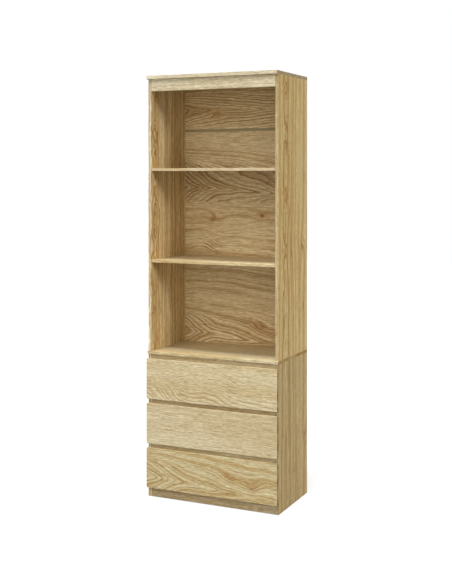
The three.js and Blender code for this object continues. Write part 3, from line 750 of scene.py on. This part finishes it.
# %% Tree for crossed heads
def heads_tree():
    tree = bpy.data.node_groups.new("crossed heads", "GeometryNodeTree")
    face = tree.interface
    face.new_socket("Points", in_out="INPUT", socket_type="NodeSocketGeometry")
    for label in ("Rim Radius", "Face Radius", "Height", "Cross Length", "Cross Width",
                  "Cross Depth"):
        face.new_socket(label, in_out="INPUT", socket_type="NodeSocketFloat")
    face.new_socket("Sides", in_out="INPUT", socket_type="NodeSocketInt")
    face.new_socket("Finish", in_out="INPUT", socket_type="NodeSocketMaterial")
    face.new_socket("Heads", in_out="OUTPUT", socket_type="NodeSocketGeometry")
    given = tree.nodes.new("NodeGroupInput").outputs
    head = add(tree, "GeometryNodeMeshCone", {
        "Vertices": given["Sides"], "Radius Top": given["Face Radius"],
        "Radius Bottom": given["Rim Radius"], "Depth": given["Height"]}).outputs["Mesh"]
    twice = sums(tree, "MULTIPLY", given["Cross Depth"], 2.0)
    lift = add(tree, "ShaderNodeCombineXYZ", {"Z": given["Height"]}).outputs[0]
    cut = head
    for length, width in (("Cross Length", "Cross Width"), ("Cross Width", "Cross Length")):
        size = add(tree, "ShaderNodeCombineXYZ", [given[length], given[width], twice]).outputs[0]
        bar = add(tree, "GeometryNodeMeshCube", {"Size": size}).outputs["Mesh"]
        bar = add(tree, "GeometryNodeTransform", {"Geometry": bar, "Translation": lift}).outputs[0]
        carve = add(tree, "GeometryNodeMeshBoolean", operation="DIFFERENCE")
        tree.links.new(cut, carve.inputs["Mesh 1"])
        tree.links.new(bar, carve.inputs["Mesh 2"])
        cut = carve.outputs["Mesh"]
    facing = add(tree, "GeometryNodeInputNamedAttribute", {"Name": "facing"},
                 data_type="FLOAT_VECTOR").outputs["Attribute"]
    turn = add(tree, "FunctionNodeAlignRotationToVector", {"Vector": facing}, axis="Z").outputs[0]
    spread = add(tree, "GeometryNodeInstanceOnPoints", {
        "Points": given["Points"], "Instance": cut, "Rotation": turn}).outputs[0]
    solid = add(tree, "GeometryNodeRealizeInstances", {"Geometry": spread}).outputs[0]
    finished = add(tree, "GeometryNodeSetMaterial", {
        "Geometry": solid, "Material": given["Finish"]}).outputs[0]
    tree.links.new(finished, tree.nodes.new("NodeGroupOutput").inputs["Heads"])
    return tree


crossed_heads = heads_tree()
print("crossed heads take", [item.name for item in crossed_heads.interface.items_tree])

# %% [markdown]
# A tree's modifier is run once for each body that carries heads. The result becomes a plain mesh,
# so that the heads ride with that body like any other piece.

# %% Grow heads on points
CAM_SIZES = {"Rim Radius": 0.0072, "Face Radius": 0.0072, "Height": 0.0085,
             "Cross Length": 0.0072, "Cross Width": 0.0016, "Cross Depth": 0.004, "Sides": 28}
SCREW_SIZES = {"Rim Radius": 0.0032, "Face Radius": 0.0024, "Height": 0.0009,
               "Cross Length": 0.0030, "Cross Width": 0.0006, "Cross Depth": 0.0006, "Sides": 16}


def grow(name, spots, sizes, body):
    """Sets heads at the spots, each a point and the way its head faces, on one body."""
    cloud = bpy.data.meshes.new(name + " points")
    cloud.from_pydata([point for point, _ in spots], [], [])
    facing = cloud.attributes.new("facing", "FLOAT_VECTOR", "POINT")
    facing.data.foreach_set("vector", [part for _, way in spots for part in way])
    holder = bpy.data.objects.new(name + " points", cloud)
    bpy.context.collection.objects.link(holder)
    grower = holder.modifiers.new("heads", "NODES")
    grower.node_group = crossed_heads
    for item in crossed_heads.interface.items_tree:
        if item.name in sizes:
            grower[item.identifier] = sizes[item.name]
        elif item.name == "Finish":
            grower[item.identifier] = zinc
    evaluated = holder.evaluated_get(bpy.context.evaluated_depsgraph_get())
    piece = bpy.data.objects.new(name, bpy.data.meshes.new_from_object(evaluated))
    bpy.context.collection.objects.link(piece)
    bpy.data.objects.remove(holder)
    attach(piece, body)
    print(name, "has", len(spots), "heads and", len(piece.data.polygons), "faces")


# %% [markdown]
# The pockets and holes are in the frame already; their places follow from the boards that carry
# them, and the depths at which they were drilled. A cam's face lies a hair under the face of its
# board, and a screw's head lies on the steel web of its runner.

# %% Cams of the cabinet
CAM_SETBACK = 0.024              # from the end of the board to the middle of the cam
CAM_SINK = 0.0005
UPPER_DEPTHS = (-0.108, 0.113)   # along Y, in the upper sides, shelves and bottom
LOWER_DEPTHS = (-0.078, 0.083)   # along Y, in the lower sides
SIDES = (("left", -1), ("right", 1))
UP = Vector((0, 0, 1))


def cam(point, way):
    """A cam that closes a pocket: the point on the board's face, and the way out of the board."""
    return Vector(point) - Vector(way) * (CAM_SIZES["Height"] + CAM_SINK), way


def inner_face(name, sign):
    low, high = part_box(name)
    return low.x if sign > 0 else high.x


spots = []
for side, sign in SIDES:
    for unit, depths in (("upper", UPPER_DEPTHS), ("lower", LOWER_DEPTHS)):
        panel = f"{unit}_side_{side}"
        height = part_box(panel)[1].z - CAM_SETBACK
        spots += [cam((inner_face(panel, sign), depth, height), (-sign, 0, 0)) for depth in depths]
    for shelf in ("shelf_1", "shelf_2", "bottom_panel"):
        across = inner_face(f"upper_side_{side}", sign) - sign * CAM_SETBACK
        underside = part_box(shelf)[0].z
        spots += [cam((across, depth, underside), -UP) for depth in UPPER_DEPTHS]
grow("cabinet_cams", spots, CAM_SIZES, "cabinet")

# %% Screws and drawer cams
FRONT_CAM_SHARE = 0.68   # of the height of the box side
SCREW_RISE = 0.0229      # over the lower edge of the front
SCREW_INSET = 0.045      # from each end of the runner
CABINET_WEB = 0.0012     # from the cabinet's side to the face of its runner's web
DRAWER_WEB = 0.0113      # from the cabinet's side to the face of the drawer runner's web


def along_runner(front, rear):
    return front + SCREW_INSET, (front + rear) / 2, rear - SCREW_INSET


cabinet_screws = []
for number in front_figures:
    low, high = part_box(f"drawer_{number}_front")
    height = low.z + SCREW_RISE
    drawer_screws, drawer_cams = [], []
    for side, sign in SIDES:
        wall = inner_face(f"lower_side_{side}", sign)
        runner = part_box(f"cabinet_runner_{number}_{side}")
        cabinet_screws += [((wall - sign * CABINET_WEB, depth, height), (-sign, 0, 0))
                           for depth in along_runner(runner[0].y, runner[1].y)]
        box_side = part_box(f"drawer_{number}_side_{side}")
        drawer_screws += [((wall - sign * DRAWER_WEB, depth, height), (sign, 0, 0))
                          for depth in along_runner(high.y, box_side[1].y)]
        rise = box_side[0].z + FRONT_CAM_SHARE * (box_side[1].z - box_side[0].z)
        face = inner_face(f"drawer_{number}_side_{side}", sign)
        drawer_cams.append(cam((face, high.y + CAM_SETBACK, rise), (-sign, 0, 0)))
    grow(f"drawer_{number}_screws", drawer_screws, SCREW_SIZES, f"drawer_{number}")
    grow(f"drawer_{number}_cams", drawer_cams, CAM_SIZES, f"drawer_{number}")
grow("cabinet_screws", cabinet_screws, SCREW_SIZES, "cabinet")

# %% [markdown]
# ## The floor
# The catalogue floor is white. It takes the cabinet's shadow, but the camera sees it brightened,
# so that only the shadow sets it off from the backdrop.

# %% Floor
FLOOR_DROP = 0.0005
FLOOR_REACH = 12.0
FLOOR_GLOW = 0.72
FLOOR_GREY = (0.3, 0.3, 0.3, 1.0)


def make_floor():
    corners = [(x * FLOOR_REACH, y * FLOOR_REACH, -FLOOR_DROP)
               for x, y in ((-1, -1), (1, -1), (1, 1), (-1, 1))]
    sheet = bpy.data.meshes.new("floor")
    sheet.from_pydata(corners, [], [(0, 1, 2, 3)])
    floor = bpy.data.objects.new("floor", sheet)
    bpy.context.collection.objects.link(floor)
    material = bpy.data.materials.new("floor white")
    material.use_nodes = True
    tree = material.node_tree
    tree.nodes.clear()
    matte = add(tree, "ShaderNodeBsdfDiffuse", {"Color": FLOOR_GREY}).outputs[0]
    strength = sums(tree, "MULTIPLY", seen(tree), FLOOR_GLOW)
    glow = add(tree, "ShaderNodeEmission", {"Strength": strength}).outputs[0]
    both = add(tree, "ShaderNodeAddShader", [matte, glow]).outputs[0]
    add(tree, "ShaderNodeOutputMaterial", {"Surface": both})
    sheet.materials.append(material)


make_floor()
print("floor at", -FLOOR_DROP)

# %% [markdown]
# ## Light
# The photo shows the same levels from floor to top, so its lamps stand far off. One is almost
# overhead and lights the front of each board that lies flat, one comes from the right and reaches
# into the compartments as far as their left wall, and two broad ones in front fill the rest. The
# last one serves the views from behind.

# %% World and lamps
AMBIENT = 0.06


def make_world():
    world = bpy.data.worlds.new("studio")
    bpy.context.scene.world = world
    world.use_nodes = True
    tree = world.node_tree
    tree.nodes.clear()
    strength = sums(tree, "MULTIPLY_ADD", seen(tree), 1.0 - AMBIENT, AMBIENT)
    glow = add(tree, "ShaderNodeBackground", {"Color": (1.0, 1.0, 1.0, 1.0), "Strength": strength})
    add(tree, "ShaderNodeOutputWorld", {"Surface": glow.outputs[0]})


def sun(name, towards, width, strength):
    """A light from far off: the way towards it, its width in degrees and its strength."""
    light = bpy.data.lights.new(name, "SUN")
    light.angle = math.radians(width)
    light.energy = strength
    stand = bpy.data.objects.new(name, light)
    stand.rotation_euler = Vector(towards).to_track_quat("Z", "Y").to_euler()
    bpy.context.collection.objects.link(stand)
    print(name, "shines from", towards, "at", strength)


make_world()
sun("overhead", (0.0, -0.165, 0.986), 15.0, 2.7)
sun("right", (1.0, -0.263, 0.29), 11.0, 1.12)
sun("front", (0.2, -1.0, 0.0), 50.0, 0.98)
sun("high front", (-0.1, -1.0, 1.0), 50.0, 1.45)
sun("left behind", (-0.55, 1.0, 0.35), 30.0, 1.6)
bpy.context.scene.view_settings.view_transform = "Standard"

# %% [markdown]
# ## Boxes as plain numbers
# A box's corners are turned into plain lists of numbers.

# %% Plain boxes
def plain(box):
    return [[float(part) for part in corner] for corner in box]
